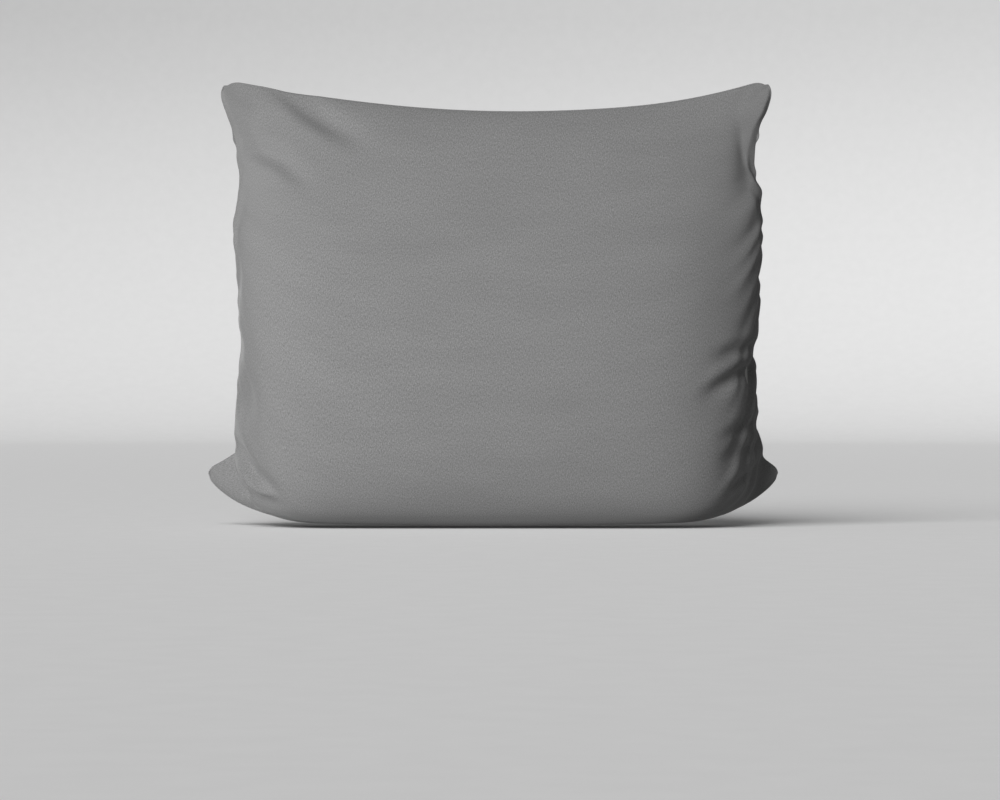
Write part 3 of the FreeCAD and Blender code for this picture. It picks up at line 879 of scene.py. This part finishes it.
    def find_grids(
        self, mesh: bpy.types.Mesh, surfaces: dict[Side, np.ndarray]
    ) -> dict[Side, np.ndarray]:
        """Finds the mesh's vertices by their places.

        Args:
            mesh: the joined panels.
            surfaces: each panel's grid of places.

        Returns:
            The vertex numbers, laid out as each panel's grid.
        """
        places = coordinates(mesh)
        keys = {tuple(key): number for number, key in enumerate(np.round(places * 1e6).astype(int))}
        found = {}
        for side, surface in surfaces.items():
            rounded = np.round(surface.astype(np.float32).astype(float) * 1e6).astype(int)
            flat = rounded.reshape(-1, 3)
            numbers = [keys.get(tuple(key), -1) for key in flat]
            lost = [n for n, number in enumerate(numbers) if number < 0]
            for n in lost:
                numbers[n] = int(np.argmin(np.linalg.norm(places * 1e6 - flat[n], axis=1)))
            found[side] = np.array(numbers).reshape(surface.shape[:2])
        return found

    def hold_weights(self, count: int) -> np.ndarray:
        """How firmly each vertex keeps its place: the seam, the corners and the zip's band are held.

        Args:
            count: how many vertices the case has.

        Returns:
            A weight from 0 to 1 for each of them.
        """
        held = np.zeros(count)
        edge = np.zeros((self.across + 1, self.upwards + 1))
        for rim in RIMS:
            edge[rim] = 1.0
        column = np.abs(np.linspace(-1.0, 1.0, self.across + 1))
        row = np.arange(self.upwards + 1)
        zip_columns = 1.0 - smooth_step(*self.zip_columns, column)
        zip_rows = 1.0 - smooth_step(*self.zip_rows, row)
        edge = np.maximum(edge, zip_columns[:, None] * zip_rows[None, :])
        across = (1.0 - column)[:, None] * self.flat_width / 2
        upwards = row[None, :] / self.upwards * self.flat_height
        for height, (near, far) in ((0.0, self.held_ear), (self.flat_height, self.held_corner)):
            reach = np.hypot(across, upwards - height)
            edge = np.maximum(edge, 1.0 - smooth_step(near, far, reach))
        for grid in self.grids.values():
            held[grid] = np.maximum(held[grid], edge)
        return held

    def cutting_pattern(self, target: np.ndarray) -> np.ndarray:
        """The lengths that the cloth is cut to, as a shape: taller towards the sides than the seam is.

        Args:
            target: where the vertices are on the smooth form.

        Returns:
            Where they are on the shape that gives the cloth's own lengths.
        """
        column = np.abs(np.linspace(-1.0, 1.0, self.across + 1))
        share = smooth_step(self.run.gather_from, 1.0, column)[:, None]
        pattern = target.copy()
        middle = self.form.middle_height / 2
        for grid in self.grids.values():
            stretch = 1.0 + self.run.gather * share - self.run.upright_tightness * (1.0 - share)
            pattern[grid, 2] = middle + (target[grid, 2] - middle) * stretch
        pattern[:, 0] *= 1.0 - self.run.tightness
        return pattern

    def blow_up(self, blank: bpy.types.Object, target: np.ndarray) -> np.ndarray:
        """Blows the case up as cloth over its seam.

        Args:
            blank: the joined panels.
            target: where their vertices are on the smooth form.

        Returns:
            Where the vertices end up.
        """
        run = self.run
        count = len(target)
        weights = self.hold_weights(count)
        group = blank.vertex_groups.new(name="held")
        for number in np.flatnonzero(weights > 0.001):
            group.add([int(number)], float(weights[number]), "REPLACE")
        blank.shape_key_add(name="form", from_mix=False)
        pattern = blank.shape_key_add(name="pattern", from_mix=False)
        pattern.data.foreach_set("co", self.cutting_pattern(target).ravel())
        shelf = self.make_shelf()
        # The cloth takes its lengths from the pattern only behind a modifier that rebuilds the mesh.
        add_modifier(blank, "rebuilt", "WEIGHTED_NORMAL")
        cloth = add_modifier(blank, "cloth", "CLOTH")
        settings = cloth.settings
        settings.quality = run.quality
        settings.mass = run.weight
        settings.tension_stiffness = settings.compression_stiffness = run.tension
        settings.shear_stiffness = run.tension / 4
        settings.bending_stiffness = run.bending
        settings.tension_damping = settings.compression_damping = run.damping
        settings.air_damping = run.air_damping
        settings.use_pressure = True
        settings.uniform_pressure_force = run.pressure
        settings.vertex_group_mass = "held"
        settings.pin_stiffness = 1.0
        settings.rest_shape_key = pattern
        settings.effector_weights.gravity = run.gravity
        cloth.collision_settings.use_collision = True
        cloth.collision_settings.distance_min = run.skin
        cloth.collision_settings.use_self_collision = False
        cloth.point_cache.frame_start = 1
        cloth.point_cache.frame_end = run.frames
        scene = bpy.context.scene
        scene.frame_start, scene.frame_end = 1, run.frames
        for number in range(1, run.frames + 1):
            scene.frame_set(number)
        graph = bpy.context.evaluated_depsgraph_get()
        moved = coordinates(blank.evaluated_get(graph).data)
        blank.modifiers.clear()
        blank.shape_key_clear()
        bpy.data.objects.remove(shelf)
        scene.frame_set(1)
        shift = moved - target
        far = np.linalg.norm(shift, axis=1, keepdims=True)
        log.info("cloth moved %.1f mm at most, %.1f mm on average", far.max() / MM, far.mean() / MM)
        limit = run.furthest
        eased = limit * np.tanh(far / limit)
        moved = target + shift * np.where(far > 1e-9, eased / np.where(far > 1e-9, far, 1.0), 1.0)
        moved[:, 2] = np.maximum(moved[:, 2], self.floor_gap)
        return moved

    def calm(self, form: np.ndarray, places: np.ndarray) -> np.ndarray:
        """Takes the small creases out of the middle of each panel and leaves them beside the seam.

        Args:
            form: where the vertices are on the smooth form.
            places: where the cloth has put them.

        Returns:
            Where they are once the middle is calm.
        """
        moved = places.copy()
        column = np.abs(np.linspace(-1.0, 1.0, self.across + 1))[:, None]
        for grid in self.grids.values():
            shift = places[grid] - form[grid]
            soft = shift.copy()
            for _ in range(self.calm_passes):
                beside = soft[:-2, 1:-1] + soft[2:, 1:-1]
                soft[1:-1, 1:-1] = (beside + soft[1:-1, :-2] + soft[1:-1, 2:]) / 4
            high = smooth_step(*self.calm_heights, form[grid, 2])
            start, end = (
                low + high * (top - low) for low, top in zip(self.calm_low, self.calm_high)
            )
            keep = smooth_step(start, end, column)[..., None]
            moved[grid] = form[grid] + soft + keep * (shift - soft)
        return moved

    def make_shelf(self) -> bpy.types.Object:
        """A flat surface that the cloth lands on while it is blown up."""
        shape = bmesh.new()
        bmesh.ops.create_grid(shape, x_segments=2, y_segments=2, size=0.6)
        bmesh.ops.translate(shape, verts=shape.verts[:], vec=(0.0, 0.0, -self.run.skin))
        shelf = new_object("shelf", take_mesh(shape, "shelf"))
        add_modifier(shelf, "solid", "COLLISION")
        shelf.collision.thickness_outer = self.run.skin
        return shelf

    def part_panels(self, places: np.ndarray) -> np.ndarray:
        """Keeps the front panel in front of the back one where the pillow is thin.

        Args:
            places: where the vertices are.

        Returns:
            Where they are with the panels apart.
        """
        moved = places.copy()
        front, back = self.grids[Side.FRONT], self.grids[Side.BACK]
        columns, rows = (np.arange(count + 1) for count in (self.across, self.upwards))
        from_sides, from_ends = (np.minimum(line, line[::-1]) for line in (columns, rows))
        inside = np.minimum(from_sides[:, None], from_ends[None, :])
        gap = self.least_gap * smooth_step(0.0, 6.0, inside)
        moved[front, 1] = np.minimum(places[front, 1], self.middle_y - gap)
        moved[back, 1] = np.maximum(places[back, 1], self.middle_y + gap)
        return moved

    def press_folds(self, blank: bpy.types.Object, places: np.ndarray, share: float) -> np.ndarray:
        """Presses the case's own folds into its front.

        Args:
            blank: the joined panels.
            places: where their vertices are.
            share: how much of each fold's depth is pressed in.

        Returns:
            Where the vertices are with the folds.
        """
        set_coordinates(blank.data, places)
        normals = np.empty(len(places) * 3)
        blank.data.vertices.foreach_get("normal", normals)
        normals = normals.reshape(-1, 3)
        facing = np.zeros(len(places))
        facing[self.grids[Side.FRONT]] = 1.0
        facing[self.grids[Side.FRONT][:, 0]] = 0.0
        push = sum(fold.push(places[:, [0, 2]]) for fold in self.folds) * facing
        moved = places + share * normals * push[:, None]
        moved[:, 2] = np.maximum(moved[:, 2], self.floor_gap)
        return moved

    def zip_axes(self) -> tuple[np.ndarray, np.ndarray, np.ndarray]:
        """The middle of the zip's seam, the way across it to the front, and the way out."""
        tilt = self.form.seam_tilt
        middle = np.array([0.0, self.form.seam_set_back, self.form.seam_lift])
        across = np.array([0.0, -math.cos(tilt), -math.sin(tilt)])
        outwards = np.array([0.0, math.sin(tilt), -math.cos(tilt)])
        return middle, across, outwards

    def slot_half_length(self) -> float:
        """Half the length of the slot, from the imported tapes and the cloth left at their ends."""
        low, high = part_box("zip_topstitch")
        return (high.x - low.x) / 2 - 1.0 * MM

    def lay_zip_band(self, blank: bpy.types.Object) -> None:
        """Lays the cloth beside the zip flat, so that it lies on the tapes.

        Args:
            blank: the joined and finished case.
        """
        middle, across, outwards = self.zip_axes()
        places = coordinates(blank.data)
        reach = (places - middle) @ across
        height = (places - middle) @ outwards
        near = (1.0 - smooth_step(*self.band_width, np.abs(reach))) * (np.abs(height) < self.band_depth)
        start, end = (self.slot_half_length() + beyond for beyond in self.band_end)
        near = near * (1.0 - smooth_step(start, end, np.abs(places[:, 0])))
        places = places - (near * height)[:, None] * outwards
        set_coordinates(blank.data, places)

    def set_down(self, blank: bpy.types.Object) -> None:
        """Lowers the underside of the case until it rests on the floor.

        Args:
            blank: the joined and finished case.
        """
        places = coordinates(blank.data)
        drop = places[:, 2].min() - self.floor_gap
        low = 1.0 - smooth_step(*self.foot_height, places[:, 2])
        places[:, 2] -= drop * low
        set_coordinates(blank.data, places)

    def cut_panel(self, blank: bpy.types.Object, side: Side) -> bpy.types.Object:
        """Cuts one panel out of the joined case, opens its half of the slot and gives it thickness.

        Args:
            blank: the joined and finished case.
            side: which panel.

        Returns:
            The panel.
        """
        shape = bmesh.new()
        shape.from_mesh(blank.data)
        other = [f for f in shape.faces if f.material_index != (0 if side is Side.FRONT else 1)]
        bmesh.ops.delete(shape, geom=other, context="FACES")
        middle, across, outwards = self.zip_axes()
        half, depth = self.slot_half_length(), self.slot_half_width
        sign = 1.0 if side is Side.FRONT else -1.0

        def beside_slot(face: bmesh.types.BMFace, margin: float) -> bool:
            """Whether a face lies in the slot, or within a margin of it."""
            place = np.array(face.calc_center_median()) - middle
            near = abs(place @ across) < depth + margin and abs(place @ outwards) < self.band_depth / 2
            return near and abs(place[0]) < half + margin

        cuts = [(middle + sign * depth * across, across)]
        cuts += [(np.array([end * half, 0.0, 0.0]), np.array([1.0, 0.0, 0.0])) for end in (-1, 1)]
        for point, normal in cuts:
            faces = [f for f in shape.faces if beside_slot(f, self.band_depth)]
            edges = list({edge for f in faces for edge in f.edges})
            corners = list({vertex for f in faces for vertex in f.verts})
            bmesh.ops.bisect_plane(
                shape, geom=faces + edges + corners, dist=WELD, plane_co=point, plane_no=normal
            )
        opened = [f for f in shape.faces if beside_slot(f, 0.0)]
        bmesh.ops.delete(shape, geom=opened, context="FACES")
        for face in shape.faces:
            face.material_index = 0
            face.smooth = True
        name = "case_front" if side is Side.FRONT else "case_back"
        mesh = take_mesh(shape, name)
        panel = new_object(name, mesh)
        add_modifier(
            panel, "cloth_thickness", "SOLIDIFY", thickness=self.fabric, offset=-1.0, use_rim=True
        )
        mesh.materials.append(self.material)
        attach(panel, "pillow")
        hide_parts("case_front_panel" if side is Side.FRONT else "case_back_panel")
        log.info("%s: %d faces", name, len(mesh.polygons))
        return panel

    @property
    def material(self) -> bpy.types.Material:
        """The case's cloth, made once."""
        return bpy.data.materials.get(self.cloth.name) or self.cloth.build()


# ---- The inner pillow ----


@dataclass
class InnerPillow:
    """The ticking bag and its fibre, which follow the inside of the finished case."""

    ticking: PlainWeave
    fibre: Fibre
    across: int = 52
    upwards: int = 44
    margin: float = 0.055
    corner: float = 0.2
    ticking_depth: float = 5.3 * MM
    ticking_fabric: float = 0.8 * MM
    fill_depth: float = 8.0 * MM
    share: float = 0.36

    def build(self, cells: dict[Side, np.ndarray]) -> None:
        """Makes the ticking panels and the fill.

        Args:
            cells: the case's own grid of places for each panel.
        """
        ticking = self.ticking.build()
        inset = self.inset(cells, self.ticking_depth)
        for side, name in ((Side.FRONT, "inner_front"), (Side.BACK, "inner_back")):
            shape = bmesh.new()
            self.add_grid(shape, inset[side], side)
            panel = self.finish(shape, name, ticking, f"{name}_panel")
            add_modifier(
                panel, "cloth_thickness", "SOLIDIFY", thickness=self.ticking_fabric, offset=-1.0
            )
        inset = self.inset(cells, self.fill_depth)
        shape = bmesh.new()
        for side in Side:
            self.add_grid(shape, inset[side], side)
        bmesh.ops.remove_doubles(shape, verts=shape.verts[:], dist=WELD)
        self.finish(shape, "fibre_filling", self.fibre.build(), "fibre_fill")

    def sample(self, cells: np.ndarray) -> np.ndarray:
        """The case's grid, thinned out, drawn in from the seam and with rounded corners.

        Args:
            cells: one panel's grid of places.

        Returns:
            A smaller grid of places on the same surface.
        """
        lines = [np.linspace(-1.0, 1.0, count + 1) for count in (self.across, self.upwards)]
        lines = np.meshgrid(*lines, indexing="ij")
        over = [np.clip((np.abs(line) - 1.0) / self.corner + 1.0, 0.0, 1.0) for line in lines]
        reach = np.hypot(*over)
        share = np.where(reach > 0.0, np.maximum(*over) / np.where(reach > 0.0, reach, 1.0), 1.0)
        places = []
        for line, beyond, size in zip(lines, over, cells.shape):
            drawn_in = np.sign(line) * (1.0 - self.corner * (1.0 - beyond * share))
            rounded = np.where(beyond > 0.0, drawn_in, line)
            places.append((0.5 + 0.5 * rounded * (1.0 - 2.0 * self.margin)) * (size - 1))
        column, row = (np.floor(place).astype(int) for place in places)
        over_column, over_row = (place - np.floor(place) for place in places)
        over_column, over_row = over_column[..., None], over_row[..., None]
        low = cells[column, row] * (1.0 - over_column) + cells[column + 1, row] * over_column
        high = cells[column, row + 1] * (1.0 - over_column) + cells[column + 1, row + 1] * over_column
        return low * (1.0 - over_row) + high * over_row

    def inset(self, cells: dict[Side, np.ndarray], depth: float) -> dict[Side, np.ndarray]:
        """The case's grids, drawn in from the seam and moved in by a depth, less where it is thin.

        Args:
            cells: the case's own grid of places for each panel.
            depth: how far in the grids move.

        Returns:
            A grid for each panel, joined along their edges.
        """
        front, back = self.sample(cells[Side.FRONT]), self.sample(cells[Side.BACK])
        moved = {}
        for side, grid in ((Side.FRONT, front), (Side.BACK, back)):
            along = np.gradient(grid, axis=0)
            upwards = np.gradient(grid, axis=1)
            normal = np.cross(along, upwards) * -side.value
            normal /= np.linalg.norm(normal, axis=2, keepdims=True)
            through = (front - back) * -side.value
            room = np.clip((through * normal).sum(axis=2, keepdims=True), 0.0, None)
            moved[side] = grid - normal * np.minimum(depth, self.share * room)
        seam = (moved[Side.FRONT] + moved[Side.BACK]) / 2
        for grid in moved.values():
            for rim in RIMS:
                grid[rim] = seam[rim]
        return moved

    def add_grid(self, shape: bmesh.types.BMesh, places: np.ndarray, side: Side) -> None:
        """Adds a grid of faces through the given places.

        Args:
            shape: what the grid is added to.
            places: the grid of places.
            side: which panel, for the way that its faces point.
        """
        across, upwards = places.shape[0] - 1, places.shape[1] - 1
        made = bmesh.ops.create_grid(shape, x_segments=across, y_segments=upwards, size=1.0)
        for vertex in made["verts"]:
            column = round((vertex.co.x + 1.0) / 2.0 * across)
            row = round((vertex.co.y + 1.0) / 2.0 * upwards)
            vertex.co = places[column, row]
        faces = list({face for vertex in made["verts"] for face in vertex.link_faces})
        if side is Side.BACK:
            bmesh.ops.reverse_faces(shape, faces=faces)

    def finish(
        self, shape: bmesh.types.BMesh, name: str, material: bpy.types.Material, node: str
    ) -> bpy.types.Object:
        """Turns a shape into a finished piece of the inner pillow.

        Args:
            shape: its faces.
            name: its name.
            material: its finish.
            node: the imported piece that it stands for.

        Returns:
            The piece.
        """
        mesh = take_mesh(shape, name)
        shade_smooth(mesh)
        mesh.materials.append(material)
        piece = new_object(name, mesh)
        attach(piece, "pillow")
        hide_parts(node)
        log.info("%s: %d faces", name, len(mesh.polygons))
        return piece


# ---- The zip, the thread and the label ----


@dataclass
class Trimmings:
    """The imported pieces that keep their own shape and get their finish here."""

    tape: PlainWeave
    thread: PlainWeave
    white_thread: PlainWeave
    ribbon: PlainWeave
    plastic: MouldedPlastic
    metal: EnamelledMetal

    def build(self, nodes: dict[str, bpy.types.Object]) -> None:
        """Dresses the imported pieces.

        Args:
            nodes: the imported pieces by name.
        """
        moulded = ("zip_teeth_front", "zip_teeth_back", "zip_top_stops", "zip_bottom_stop")
        finishes = {
            ("zip_tape_front", "zip_tape_back"): self.tape.build(),
            moulded: self.plastic.build(),
            ("zip_slider_body", "zip_pull_tab"): self.metal.build(),
            ("zip_topstitch",): self.thread.build(),
            ("inner_closing_stitch",): self.white_thread.build(),
            ("inner_care_label",): self.ribbon.build(),
        }
        for names, material in finishes.items():
            for name in names:
                self.dress(nodes[name], material)

    def dress(self, node: bpy.types.Object, material: bpy.types.Material) -> None:
        """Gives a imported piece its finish.

        Args:
            node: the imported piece.
            material: its finish.
        """
        if not node.material_slots:
            node.data.materials.append(material)
        for slot in node.material_slots:
            slot.material = material
        log.info("%s: dressed in %s", node.name, material.name)


# ---- The studio ----


@dataclass
class Studio:
    """A pale sweep of paper, soft lights and the camera."""

    paper: StudioPaper
    camera_distance: float = 2.85
    camera_height: float = 0.1105
    camera_x: float = 0.0062
    view_width: float = 0.87
    sensor: float = 36.0
    sweep_radius: float = 6.5
    cove: float = 1.2
    wall_height: float = 1.9
    segments: int = 72
    target: tuple[float, float, float] = (0.0, 0.0, 0.19)
    lamp_size: float = 1.5
    key_power: float = 106.0
    key_distance: float = 2.9
    key_turn: float = 33.0
    key_rise: float = 0.22
    rear_power: float = 60.0
    rear_place: tuple[float, float, float] = (-1.0, 2.4, 0.9)
    paper_strength: float = 2.7
    paper_place: tuple[float, float, float] = (-0.5, -1.0, 1.15)
    paper_angle: float = 50.0
    room_strength: float = 0.12

    def build(self) -> None:
        """Makes the sweep, the lights and the camera."""
        sweep = self.build_sweep()
        self.build_lights(sweep)
        self.build_camera()

    def build_sweep(self) -> bpy.types.Object:
        """Spins the profile of the floor, its cove and the wall round the pillow."""
        shape = bmesh.new()
        flat = self.sweep_radius - self.cove
        profile = [(0.02, 0.0), (0.8, 0.0), (2.2, 0.0), (flat, 0.0)]
        for step in range(1, 13):
            turn = math.radians(90.0) * step / 12
            profile.append((flat + self.cove * math.sin(turn), self.cove * (1.0 - math.cos(turn))))
        profile.append((self.sweep_radius, self.wall_height))
        line = [shape.verts.new((reach, 0.0, height)) for reach, height in profile]
        edges = [shape.edges.new(pair) for pair in zip(line, line[1:])]
        bmesh.ops.spin(
            shape,
            geom=line + edges,
            cent=(0.0, 0.0, 0.0),
            axis=(0.0, 0.0, 1.0),
            angle=math.tau,
            steps=self.segments,
            use_merge=True,
        )
        inner = [v for v in shape.verts if math.hypot(v.co.x, v.co.y) < 0.05]
        bmesh.ops.pointmerge(shape, verts=inner, merge_co=(0.0, 0.0, 0.0))
        bmesh.ops.recalc_face_normals(shape, faces=shape.faces[:])
        mesh = take_mesh(shape, "studio_sweep")
        shade_smooth(mesh)
        mesh.materials.append(self.paper.build())
        sweep = new_object("studio_sweep", mesh)
        sweep.visible_diffuse = False
        return sweep

    def build_lights(self, sweep: bpy.types.Object) -> None:
        """A broad soft key, low on the left, a rear lamp, a dim room and a lamp for the paper alone.

        Args:
            sweep: the paper.
        """
        turn = math.radians(self.key_turn)
        left_front = Vector((-math.sin(turn), -math.cos(turn), 0.0))
        lift = Vector((0.0, 0.0, self.key_rise))
        key_place = Vector(self.target) + self.key_distance * left_front + lift
        key = self.add_lamp("key", "AREA", self.key_power, key_place)
        rear = self.add_lamp("rear", "AREA", self.rear_power, Vector(self.rear_place))
        for lamp in (key, rear):
            lamp.data.size = self.lamp_size
            lamp.light_linking.receiver_collection = self.receivers("not_paper", sweep, "EXCLUDE")
        paper = self.add_lamp("paper_lamp", "SUN", self.paper_strength, Vector(self.paper_place))
        paper.data.angle = math.radians(self.paper_angle)
        paper.light_linking.receiver_collection = self.receivers("paper_only", sweep, "INCLUDE")
        world = bpy.data.worlds.new("room")
        world.use_nodes = True
        background = world.node_tree.nodes["Background"].inputs
        background["Color"].default_value = (1.0, 1.0, 1.0, 1.0)
        background["Strength"].default_value = self.room_strength
        bpy.context.scene.world = world
        bpy.context.scene.view_settings.view_transform = "Standard"

    def receivers(self, name: str, sweep: bpy.types.Object, state: str) -> bpy.types.Collection:
        """Which objects take a lamp's light.

        Args:
            name: the collection's name.
            sweep: the paper.
            state: "INCLUDE" if only the paper takes the light, "EXCLUDE" if all but the paper does.

        Returns:
            The collection for the lamp.
        """
        found = bpy.data.collections.get(name)
        if found:
            return found
        made = bpy.data.collections.new(name)
        made.objects.link(sweep)
        made.collection_objects[0].light_linking.link_state = state
        return made

    def add_lamp(self, name: str, kind: str, power: float, place: Vector) -> bpy.types.Object:
        """Adds a light that shines at the pillow.

        Args:
            name: the light's name.
            kind: "AREA" or "SUN".
            power: its energy, in Blender's unit for that kind.
            place: where it stands.

        Returns:
            The light's object.
        """
        light = bpy.data.lights.new(name, kind)
        light.energy = power
        lamp = bpy.data.objects.new(name, light)
        lamp.location = place
        lamp.rotation_mode = "QUATERNION"
        lamp.rotation_quaternion = (place - Vector(self.target)).to_track_quat("Z", "Y")
        bpy.context.scene.collection.objects.link(lamp)
        return lamp

    def build_camera(self) -> None:
        """A level camera in front of the pillow."""
        lens = bpy.data.cameras.new("camera")
        lens.sensor_width = self.sensor
        lens.lens = self.sensor * self.camera_distance / self.view_width
        camera = bpy.data.objects.new("camera", lens)
        camera.location = (self.camera_x, -self.camera_distance, self.camera_height)
        camera.rotation_euler = (math.radians(90.0), 0.0, 0.0)
        bpy.context.scene.collection.objects.link(camera)
        bpy.context.scene.camera = camera


def main() -> None:
    """Builds every piece, in order."""
    logging.basicConfig(level=logging.INFO, format="%(name)s: %(message)s")
    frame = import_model()
    case = Case(CaseForm(), BrushedCloth("brushed_grey_cloth", (0.262, 0.262, 0.262)))
    case.build()
    ticking = PlainWeave("white_ticking", (0.78, 0.78, 0.76), 0.9 * MM)
    InnerPillow(ticking, Fibre("polyester_fibre", (0.86, 0.86, 0.85))).build(case.cell)
    trimmings = Trimmings(
        tape=PlainWeave("zip_tape_weave", (0.2, 0.2, 0.2), 0.45 * MM),
        thread=PlainWeave("case_thread_twist", (0.25, 0.25, 0.25), 0.2 * MM),
        white_thread=PlainWeave("white_thread_twist", (0.8, 0.8, 0.78), 0.2 * MM),
        ribbon=PlainWeave("label_ribbon_weave", (0.82, 0.82, 0.8), 0.3 * MM, 0.08),
        plastic=MouldedPlastic("zip_nylon", (0.2, 0.2, 0.205)),
        metal=EnamelledMetal("zip_enamel", (0.32, 0.32, 0.33)),
    )
    trimmings.build(frame["nodes"])
    Studio(StudioPaper("backdrop_paper", (0.82, 0.82, 0.82))).build()


if __name__ == "__main__":
    main()
